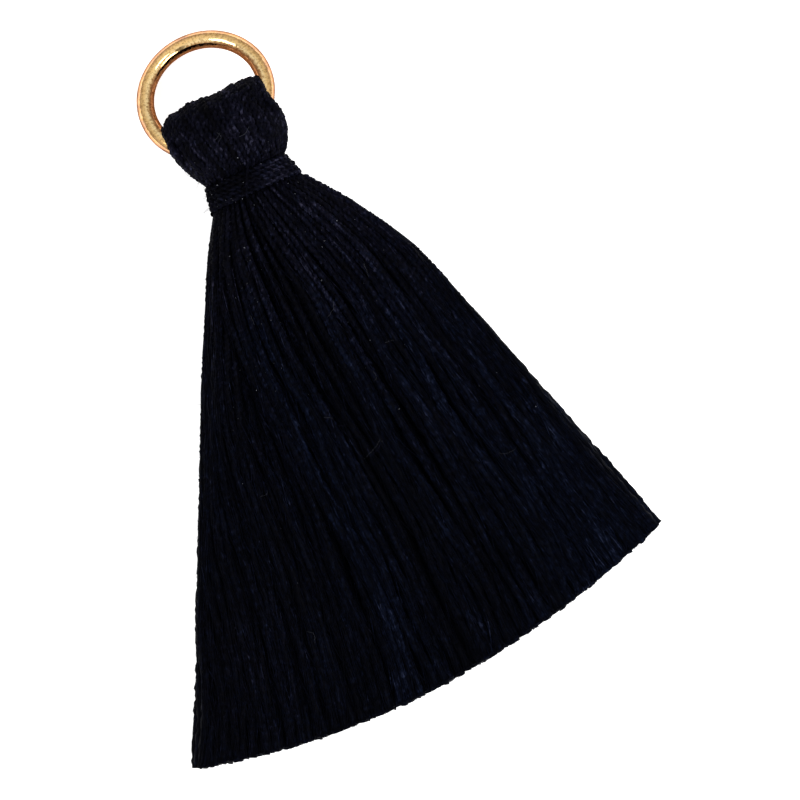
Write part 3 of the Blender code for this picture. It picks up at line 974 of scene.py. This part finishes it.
def make_binding(material):
    """The yarn wound round the neck, and its loose end."""
    tubes = Tubes()
    turns = np.linspace(0.0, BINDING_TURNS, BINDING_TURNS * BINDING_STEPS + 1)
    knots = np.array([binding_point(turn) for turn in turns])
    knots[1:-1, 1] += random.normal(0.0, BINDING_UNEVEN, len(knots) - 2)
    # Painted light and shade: lighter towards the right side and the lower turns, darker at the top under the
    # head, with a random spread of the yarn's own tone.
    tone = np.interp(knots[:, 0], *zip(*BINDING_PAINTED_LIGHT_ACROSS))
    tone = tone + random.normal(0.0, BINDING_TONE_SPREAD, len(knots))
    tone += np.interp(knots[:, 1], *zip(*BINDING_PAINTED_LIGHT_DOWN))
    along_axis = (0.0, 1.0, 0.0)
    add_strand(tubes, knots, BINDING_RADIUS, tone, BINDING_BLUE, BINDING_PLY_DEPTH, hint=along_axis)
    add_strand(tubes, np.array(TAIL), TAIL_RADIUS, TAIL_TONE)
    make_piece("binding_yarn", tubes, material, "navy_yarn", "neck_binding")
    return tubes


# ---------------------------------------------------------------- loose fibres and lint

HAIR_SIDES = 3
HAIR_RADIUS = 0.010
HAIR_HINT = (0.30, 0.20, 0.93)
HAIR_STEPS = 5
HAIR_KINK = 0.22
LOWEST = 0.03
# Hairs that stand off a strand: their lengths, how high they rise, how they differ in thickness, how
# far askew they start and bend, how deep their roots are and how much of an arch they make, and the
# middle and spread of their tone.
FUZZ_LENGTHS = (0.2, 0.8)
FUZZ_RISES = (0.03, 0.12)
FUZZ_RADII = (0.7, 1.3)
FUZZ_SKEW = 0.4
FUZZ_BEND = 1.0
FUZZ_ROOT = 0.85
FUZZ_ARCH = 0.85
FUZZ_TONE = (0.8, 1.0)
# Fibres that spring out of a cut end: how many, how long, how far from its middle and how far back they
# start, how far askew they are, their radius, and the middle and spread of their tone.
FRAYS_AN_END = 2
FRAY_LENGTHS = (0.10, 0.18)
FRAY_START = 0.45
FRAY_BACK = 0.10
FRAY_SKEW = 0.30
FRAY_RADIUS = 1.2 * HAIR_RADIUS
FRAY_TONE = (0.5, 1.0)
# Specks of lint: how many, from where to where, how they crowd upwards, their sizes and edge distance.
LINT_SPECKS = 130
LINT_FROM = 3.2
LINT_TO = 34.0
LINT_CROWDING = (1.4, 3.7)
LINT_SIZES = (0.012, 0.026)
LINT_MARGIN = 0.3
# A speck's radii along it, its length and how high it lies, in its sizes, and its curl.
SPECK_SHAPE = np.array([0.5, 1.0, 0.5])
SPECK_LENGTH = 2.6
SPECK_LEVEL = 0.4
SPECK_CURL = 0.5
# Where the head ends and the binding begins.
HEAD_END = 4.7

# How high a stray fibre lies at its ends, and how much higher in its middle.
STRAY_LIFT = 0.02
STRAY_RISE = 0.08
# Stray fibres that lie on top: across and down where they start, the way they head in degrees, their
# length, curl and tone.
STRAY_STEPS = 14
STRAYS = [
    (-0.42, 2.30, 35.0, 0.75, 0.5, 0.40), (-0.70, 2.62, 20.0, 0.50, -1.0, 0.35),
    (0.60, 3.12, -20.0, 0.90, -0.4, 0.45), (0.94, 13.60, 120.0, 1.10, 0.8, 0.45),
    (3.45, 12.60, 110.0, 0.80, 1.2, 0.40), (1.04, 18.20, 75.0, 0.70, 1.6, 0.30),
    (5.16, 25.60, 60.0, 1.20, -0.8, 0.20), (2.40, 17.10, 20.0, 0.60, -0.5, 0.45),
    (-2.60, 19.20, 60.0, 0.70, 1.0, 0.30), (-0.40, 21.80, 150.0, 1.40, 0.5, 0.20),
    (-3.60, 12.20, 75.0, 0.60, 0.4, 0.45), (-7.40, 21.30, 85.0, 0.70, -0.6, 0.35),
    (-9.20, 29.40, 40.0, 1.20, 0.7, 0.15),
]


def hair_path(start, heading, length, curl, steps):
    """A level, curling hair from a start point. Its bends come at odd places along it."""
    angle = math.radians(heading) + curl * np.linspace(0.0, 1.0, steps)
    angle += np.cumsum(random.normal(0.0, HAIR_KINK, steps))
    step = length / (steps - 1)
    across, down = running(step * np.cos(angle[:-1])), running(step * np.sin(angle[:-1]))
    return np.stack([start[0] + across, start[1] + down, np.full(steps, start[2])], 1)


def add_round(tubes, path, radius, tone, blue=0.0):
    """Add a plain tube with the given radius at each point."""
    reach = np.repeat(radius[:, None], HAIR_SIDES, axis=1)
    tubes.add(path, reach, np.zeros(len(path)), HAIR_HINT, tone, blue)


def add_hair(tubes, path, radius, tone):
    """Add a hair that thins towards its end and stays off the ground."""
    path[:, 2] = np.maximum(path[:, 2], LOWEST)
    add_round(tubes, path, np.linspace(radius, 0.5 * radius, len(path)), tone)


def add_fuzz(hairs, point, direction, radius):
    """One hair that stands off a strand and lies down along it again."""
    tangent = direction / np.linalg.norm(direction)
    outward = random.normal(0.0, 1.0, 3)
    outward -= outward.dot(tangent) * tangent
    outward /= np.linalg.norm(outward)
    angle = random.normal(0.0, FUZZ_SKEW) + random.normal(0.0, FUZZ_BEND) * np.linspace(0.0, 1.0, HAIR_STEPS)
    heading = np.cos(angle)[:, None] * tangent + np.sin(angle)[:, None] * np.cross(tangent, outward)
    step = random.uniform(*FUZZ_LENGTHS) / (HAIR_STEPS - 1)
    rise = np.sin(math.pi * np.linspace(0.0, FUZZ_ARCH, HAIR_STEPS)) * random.uniform(*FUZZ_RISES)
    path = point + np.cumsum(step * heading, axis=0) + (FUZZ_ROOT * radius + rise)[:, None] * outward
    add_hair(hairs, path, HAIR_RADIUS * random.uniform(*FUZZ_RADII), random.normal(*FUZZ_TONE))


def add_fray(hairs, point, direction, radius):
    """One fibre that has sprung out of a cut end."""
    start = point + random.normal(0.0, FRAY_START * radius, 3) - FRAY_BACK * direction
    spread = (direction + random.normal(0.0, FRAY_SKEW, 3)) * random.uniform(*FRAY_LENGTHS)
    path = start + np.linspace(0.0, 1.0, 4)[:, None] * spread
    add_hair(hairs, path, FRAY_RADIUS, random.normal(*FRAY_TONE))


def edges_at(down):
    """The yarn's left and right edge at a distance down."""
    rows = SKIRT_OUTLINE if down > SKIRT_START else BINDING_SECTIONS if down > HEAD_END else HEAD_SECTIONS
    return read_table(rows, down)[:2]


def make_fibres(batches, ends, material, lint_material):
    """Fine hairs that stand off the yarn, frayed ends, stray fibres and specks of lint."""
    hairs = Tubes()
    for batch in batches:
        for anchor in batch.anchors:
            add_fuzz(hairs, *anchor)
    for end in ends:
        for _ in range(FRAYS_AN_END):
            add_fray(hairs, *end)
    make_piece("loose_fibres", hairs, material, "navy_yarn")

    lint = Tubes()
    surface = TopSurface(batches)
    for across, down, heading, length, curl, tone in STRAYS:
        path = hair_path((across, down, 0.0), heading, length, curl, STRAY_STEPS)
        level = surface.height(path[:, 0], path[:, 1])
        bridge(level)
        path[:, 2] = level + STRAY_LIFT + STRAY_RISE * np.sin(math.pi * np.linspace(0.0, 1.0, STRAY_STEPS))
        add_hair(lint, path, HAIR_RADIUS, tone)
    for _ in range(LINT_SPECKS):
        down = LINT_FROM + (LINT_TO - LINT_FROM) * random.beta(*LINT_CROWDING)
        left, right = edges_at(down)
        across = random.uniform(left + LINT_MARGIN, right - LINT_MARGIN)
        size = random.uniform(*LINT_SIZES)
        start = (across, down, surface.height(across, down) + SPECK_LEVEL * size)
        path = hair_path(start, random.uniform(0.0, 360.0), SPECK_LENGTH * size, SPECK_CURL, len(SPECK_SHAPE))
        add_round(lint, path, SPECK_SHAPE * size, random.uniform(0.0, 1.0))
    make_piece("stray_fibres", lint, lint_material, "navy_yarn")


# ---------------------------------------------------------------- the ring

RING_AROUND = 320
RING_SECTION = 48
PITS = 700
PIT_DEPTH = 0.007
PIT_RADIUS = 0.060
# Where the pits lie, as middle and spread: round the ring from its far side, and round its wire.
PIT_TURNS = (1.75, 0.42)
PIT_ANGLES = (1.4, 0.7)


def ring_surface(turn, angle, wire):
    """Points of the ring at angles round it and round its wire's section."""
    out = RING_RADIUS + wire * np.cos(angle)
    flat_down, lift = out * np.cos(turn), wire * np.sin(angle)
    down = flat_down * math.cos(RING_TILT) - lift * math.sin(RING_TILT)
    height = RING_HEIGHT + flat_down * math.sin(RING_TILT) + lift * math.cos(RING_TILT)
    return np.stack([out * np.sin(turn), down, height], -1)


def pitted_wire(turn, angle):
    """The wire's radius, with small pits that lie mostly on the ring's two limbs."""
    wire = np.full(turn.shape, WIRE_RADIUS)
    for _ in range(PITS):
        limb = random.choice([-1.0, 1.0])
        pit_turn = limb * random.normal(*PIT_TURNS)
        pit_angle = random.normal(*PIT_ANGLES)
        along = (turn - pit_turn + math.pi) % FULL_TURN - math.pi
        around = (angle - pit_angle + math.pi) % FULL_TURN - math.pi
        distance = np.hypot(RING_RADIUS * along, WIRE_RADIUS * around)
        wire -= PIT_DEPTH * random.uniform(0.3, 1.0) * np.exp(-(distance / PIT_RADIUS) ** 2)
    return wire


def make_ring(material):
    """A closed wire ring, pitted and worn."""
    shape = (RING_AROUND, RING_SECTION)
    turn, angle = np.meshgrid(*(np.arange(count) * FULL_TURN / count for count in shape), indexing="ij")
    points = ring_surface(turn, angle, pitted_wire(turn, angle))
    facing = ring_surface(turn, angle, WIRE_RADIUS) - ring_surface(turn, angle, 0.0)
    grid = np.arange(RING_AROUND * RING_SECTION).reshape(shape)
    onward, beside = np.roll(grid, -1, axis=0), np.roll(grid, -1, axis=1)
    both = np.roll(onward, -1, axis=1)
    faces = np.stack([grid, beside, both, onward], 2).reshape(-1, 4)
    mesh = bpy.data.meshes.new("ring_wire")
    mesh.from_pydata(to_frame(points.reshape(-1, 3)).tolist(), [], faces.tolist())
    mesh.shade_smooth()
    # How far out round the wire's section each point faces, which the gold material turns into painted
    # reflections.
    outward = facing[:, :, 0] * np.sin(turn) + facing[:, :, 1] * np.cos(turn)
    add_field(mesh, "outward", (0.5 + 0.5 * outward / WIRE_RADIUS).ravel())
    steps = np.array([[0, 0], [0, 1], [1, 1], [1, 0]])
    places = np.stack(np.meshgrid(*(np.arange(count) for count in shape), indexing="ij"), 2)
    ring = add_object(mesh, (places[:, :, None, :] + steps) / shape, material)
    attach(ring, "root")
    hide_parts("ring")


# ---------------------------------------------------------------- materials

def new_material(name):
    material = bpy.data.materials.new(name)
    material.use_nodes = True
    return material, material.node_tree, material.node_tree.nodes["Principled BSDF"]


def feed(tree, node, inputs):
    """Give inputs of a node, by name or number, their value or the output that they come from."""
    for name, value in inputs.items():
        if isinstance(value, bpy.types.NodeSocket):
            tree.links.new(value, node.inputs[name])
        else:
            node.inputs[name].default_value = value


def make_node(tree, kind, inputs):
    node = tree.nodes.new("ShaderNode" + kind)
    feed(tree, node, inputs)
    return node


def make_math(tree, operation, *inputs, kind="Math"):
    node = tree.nodes.new("ShaderNode" + kind)
    node.operation = operation
    feed(tree, node, dict(enumerate(inputs)))
    return node


def add_up(tree, total, shares):
    """The sum of a start value and of each output times its share."""
    for source, share in shares:
        total = make_math(tree, "MULTIPLY_ADD", source, share, total).outputs["Value"]
    return total


def multiply_colors(tree, first, second):
    return make_math(tree, "MULTIPLY", first, second, kind="VectorMath").outputs["Vector"]


def make_ramp(tree, source, stops):
    """The colour of a ramp with (position, colour) stops, a colour being three numbers or a grey."""
    ramp = make_node(tree, "ValToRGB", {"Fac": source})
    elements = ramp.color_ramp.elements
    while len(elements) < len(stops):
        elements.new(0.5)
    for element, (position, color) in zip(elements, stops):
        element.position = position
        element.color = (*np.broadcast_to(color, 3), 1.0)
    return ramp.outputs["Color"]


def make_bump(tree, source, strength, distance):
    inputs = {"Height": source, "Strength": strength, "Distance": distance}
    return make_node(tree, "Bump", inputs).outputs["Normal"]


def read_attribute(tree, name, output="Fac"):
    attribute = make_node(tree, "Attribute", {})
    attribute.attribute_name = name
    return attribute.outputs[output]


# How much the fibres, longer dashes, the mottling, the painted shade between the plies and the strand's tone
# (which holds painted light and shade in places) lighten or darken the yarn, and the value that they start
# from.
FIBRE_SHARE = 1.25
DASH_SHARE = 0.5
MOTTLE_SHARE = 1.2
CREST_SHADE_SHARE = 0.6
TONE_SHARE = 0.13
LIGHTNESS = -1.745
# How much patches of the yarn turn from violet to blue.
HUE_SHARE = 2.2
NAVY_STOPS = [
    (0.05, (0.0006, 0.0005, 0.0012)), (0.40, (0.0014, 0.0014, 0.0035)),
    (0.66, (0.0035, 0.0033, 0.0080)), (1.00, (0.0220, 0.0213, 0.0385)),
]
BLUE_STOPS = [
    (0.05, (0.0003, 0.0005, 0.0016)), (0.40, (0.0009, 0.0016, 0.0050)),
    (0.66, (0.0023, 0.0039, 0.0116)), (1.00, (0.0180, 0.0232, 0.0480)),
]
# The numbers of a mix node's sockets: its factor, its two colours, and the colour that comes out.
MIX_FACTOR, MIX_FIRST, MIX_SECOND, MIX_COLOR = 0, 6, 7, 2


def yarn_material():
    """Dull navy wool: fibres along the strands, fine mottling, painted shade between the plies, bluer in
    places, partly as painted sheen.
    """
    material, tree, shader = new_material("navy_yarn")
    grain = read_attribute(tree, "grain", "Vector")
    streaks = []
    for stretch, detail in (((9.0, 9.0, 1.1), 3.0), ((1.8, 1.8, 1.4), 1.0)):
        stretched = make_node(tree, "Mapping", {"Vector": grain, "Scale": stretch}).outputs["Vector"]
        streaks.append(make_node(tree, "TexNoise", {"Vector": stretched, "Scale": 1.0, "Detail": detail}))
    fibres, dashes = (streak.outputs["Fac"] for streak in streaks)
    place = make_node(tree, "TexCoord", {}).outputs["Object"]
    mottle = make_node(tree, "TexNoise", {"Vector": place, "Scale": 4200.0, "Detail": 2.0})
    lightness = add_up(tree, LIGHTNESS, [
        (fibres, FIBRE_SHARE),
        (dashes, DASH_SHARE),
        (mottle.outputs["Fac"], MOTTLE_SHARE),
        # Painted shade: darker where a point lies further in, between the plies.
        (read_attribute(tree, "crest_shade"), CREST_SHADE_SHARE),
        (read_attribute(tree, "tone"), TONE_SHARE),
    ])
    hues = make_node(tree, "SeparateColor", {"Color": mottle.outputs["Color"]})
    shares = [(hues.outputs["Green"], HUE_SHARE), (read_attribute(tree, "blue"), 1.0)]
    mix = tree.nodes.new("ShaderNodeMix")
    mix.data_type = "RGBA"
    feed(tree, mix, {
        MIX_FACTOR: add_up(tree, -0.5 * HUE_SHARE, shares),
        MIX_FIRST: make_ramp(tree, lightness, NAVY_STOPS),
        MIX_SECOND: make_ramp(tree, lightness, BLUE_STOPS),
    })
    feed(tree, shader, {
        "Base Color": mix.outputs[MIX_COLOR],
        "Normal": make_bump(tree, fibres, 0.7, 0.00003),
        "Roughness": 0.65,
        "Specular IOR Level": 0.02,
        "Sheen Weight": 0.005,
        "Sheen Roughness": 0.4,
        "Sheen Tint": (0.5, 0.55, 1.0, 1.0),
    })
    return material


# The gold's colour by how far out round the wire's section a point faces, with painted reflections: of the
# dark yarn on the inner flank, which is brown, and of the room on the outer side, which is rosier and darker;
# the crown is plain bright gold.
GOLD_AND_REFLECTION_STOPS = [
    (0.00, (0.300, 0.110, 0.045)), (0.20, (0.460, 0.200, 0.080)), (0.31, (0.640, 0.380, 0.160)),
    (0.42, (0.980, 0.740, 0.380)), (0.62, (0.880, 0.570, 0.230)), (0.76, (0.960, 0.600, 0.260)),
    (0.88, (0.720, 0.400, 0.220)), (1.00, (0.280, 0.150, 0.110)),
]
GRIME_STOPS = [(0.36, (0.70, 0.63, 0.55)), (0.54, 1.0)]
WORN_STOPS = [(0.08, 0.50), (0.22, 0.0), (0.90, 0.10)]


def gold_material():
    """Gold-coloured wire, with painted reflections: bright on its crown, brown on its inner flank and rosier
    outside.
    """
    material, tree, shader = new_material("gold_wire")
    place = make_node(tree, "TexCoord", {}).outputs["Object"]
    specks, clouds = (
        make_node(tree, "TexNoise", {"Vector": place, "Scale": scale, "Detail": detail}).outputs["Fac"]
        for scale, detail in ((7500.0, 2.0), (1500.0, 3.0))
    )
    shade = add_up(tree, -0.27, [(read_attribute(tree, "outward"), 1.0), (clouds, 0.24), (specks, 0.30)])
    worn = make_ramp(tree, shade, WORN_STOPS)
    gold, grime = make_ramp(tree, shade, GOLD_AND_REFLECTION_STOPS), make_ramp(tree, specks, GRIME_STOPS)
    feed(tree, shader, {
        "Base Color": multiply_colors(tree, gold, grime),
        "Normal": make_bump(tree, specks, 0.8, 0.000004),
        "Roughness": make_math(tree, "MULTIPLY_ADD", clouds, 0.14, worn).outputs["Value"],
        "Metallic": 1.0,
        "Specular Tint": (0.50, 0.35, 0.28, 1.0),
    })
    return material


LINT_STOPS = [(0.0, (0.008, 0.009, 0.015)), (0.5, (0.030, 0.032, 0.045)), (1.0, (0.26, 0.27, 0.31))]


def lint_material():
    """Pale dusty fibres, from grey-blue to nearly white."""
    material, tree, shader = new_material("pale_fibre")
    grain = read_attribute(tree, "grain", "Vector")
    noise = make_node(tree, "TexNoise", {"Vector": grain, "Scale": 3.0, "Detail": 2.0})
    shade = add_up(tree, -0.2, [(noise.outputs["Fac"], 0.4), (read_attribute(tree, "tone"), 1.0)])
    feed(tree, shader, {"Base Color": make_ramp(tree, shade, LINT_STOPS), "Roughness": 0.7})
    return material


# ---------------------------------------------------------------- camera, floor and light

PICTURE_PIXELS = 800.0
PIXEL = 1.0 / 17.67
PHOTO_TURN = math.radians(28.0)
LENS = 300.0
SENSOR = 36.0
# What the camera looks at: across and up in the frame, and its height.
FOCUS = (5.10, -4.38)
FOCUS_HEIGHT = 1.5
# The sky, by how steeply one looks up.
SKY_STOPS = [(0.0, 0.45), (0.35, 0.55), (0.85, 1.0)]
# The one dark place in the studio, overhead: its middle and half size, as directions east and north,
# and its colour and fading, by the distance from its middle.
DARK_MIDDLE = (0.0, -0.38)
DARK_HALF = (0.13, 0.40)
DARK_STOPS = [(0.70, (0.22, 0.20, 0.17)), (1.0, 1.0)]


def make_camera():
    """Straight above the tassel, turned as the tassel lies, and far enough to see it almost flat."""
    camera = bpy.data.cameras.new("camera")
    camera.lens = LENS
    camera.sensor_width = SENSOR
    camera.clip_start = 0.001
    camera.clip_end = 10.0
    view = bpy.data.objects.new("camera", camera)
    distance = PICTURE_PIXELS * PIXEL * LENS / SENSOR
    view.location = (FOCUS[0] * MM, FOCUS[1] * MM, (FOCUS_HEIGHT + distance) * MM)
    view.rotation_euler = (0.0, 0.0, -PHOTO_TURN)
    bpy.context.scene.collection.objects.link(view)
    bpy.context.scene.camera = view


def make_floor():
    """A pale floor that glows a little, so that it stays white."""
    bpy.ops.mesh.primitive_plane_add(size=1.2, location=(0.0, 0.0, -0.00002))
    floor = bpy.context.active_object
    floor.name = "floor"
    material, tree, shader = new_material("pale_floor")
    grain = make_node(tree, "TexNoise", {"Scale": 300.0, "Detail": 2.0}).outputs["Fac"]
    feed(tree, shader, {
        "Base Color": make_ramp(tree, grain, [(0.0, 0.90), (1.0, 0.94)]),
        "Roughness": 0.8,
        "Emission Color": (1.0, 1.0, 1.0, 1.0),
        "Emission Strength": 0.55,
    })
    floor.data.materials.append(material)


def make_lamp(name, place, size, energy):
    """A round soft lamp that faces the tassel."""
    lamp = bpy.data.lights.new(name, "AREA")
    lamp.shape = "DISK"
    lamp.size = size
    lamp.energy = energy
    light = bpy.data.objects.new(name, lamp)
    light.location = place
    light.rotation_euler = Vector(place).to_track_quat("Z", "Y").to_euler()
    bpy.context.scene.collection.objects.link(light)


def make_light():
    """A bright ceiling over darker sides with one dark place in it, and three lamps."""
    world = bpy.data.worlds.new("studio")
    world.use_nodes = True
    tree = world.node_tree
    direction = make_node(tree, "TexCoord", {}).outputs["Generated"]
    parts = make_node(tree, "SeparateXYZ", {"Vector": direction}).outputs
    flat = {}
    for axis, middle, half in zip("XY", DARK_MIDDLE, DARK_HALF):
        share = make_math(tree, "MULTIPLY_ADD", parts[axis], 1.0 / half, -middle / half)
        flat[axis] = share.outputs["Value"]
    place = make_node(tree, "CombineXYZ", flat).outputs["Vector"]
    distance = make_math(tree, "LENGTH", place, kind="VectorMath").outputs["Value"]
    sky, shade = make_ramp(tree, parts["Z"], SKY_STOPS), make_ramp(tree, distance, DARK_STOPS)
    feed(tree, tree.nodes["Background"], {"Color": multiply_colors(tree, sky, shade), "Strength": 1.0})
    bpy.context.scene.world = world
    make_lamp("low_lamp", (0.130, -0.180, 0.230), 0.18, 0.75)
    make_lamp("high_lamp", (0.101, 0.060, 0.312), 0.07, 0.10)
    make_lamp("left_lamp", (-0.207, 0.090, 0.273), 0.16, 0.36)


bpy.context.scene.view_settings.view_transform = "Standard"
make_camera()
make_floor()
make_light()
yarn = yarn_material()
skirt_batches, skirt_ends = make_skirt(yarn)
head_batch = make_head(yarn)
binding_batch = make_binding(yarn)
make_fibres(skirt_batches + [head_batch, binding_batch], skirt_ends, yarn, lint_material())
make_ring(gold_material())
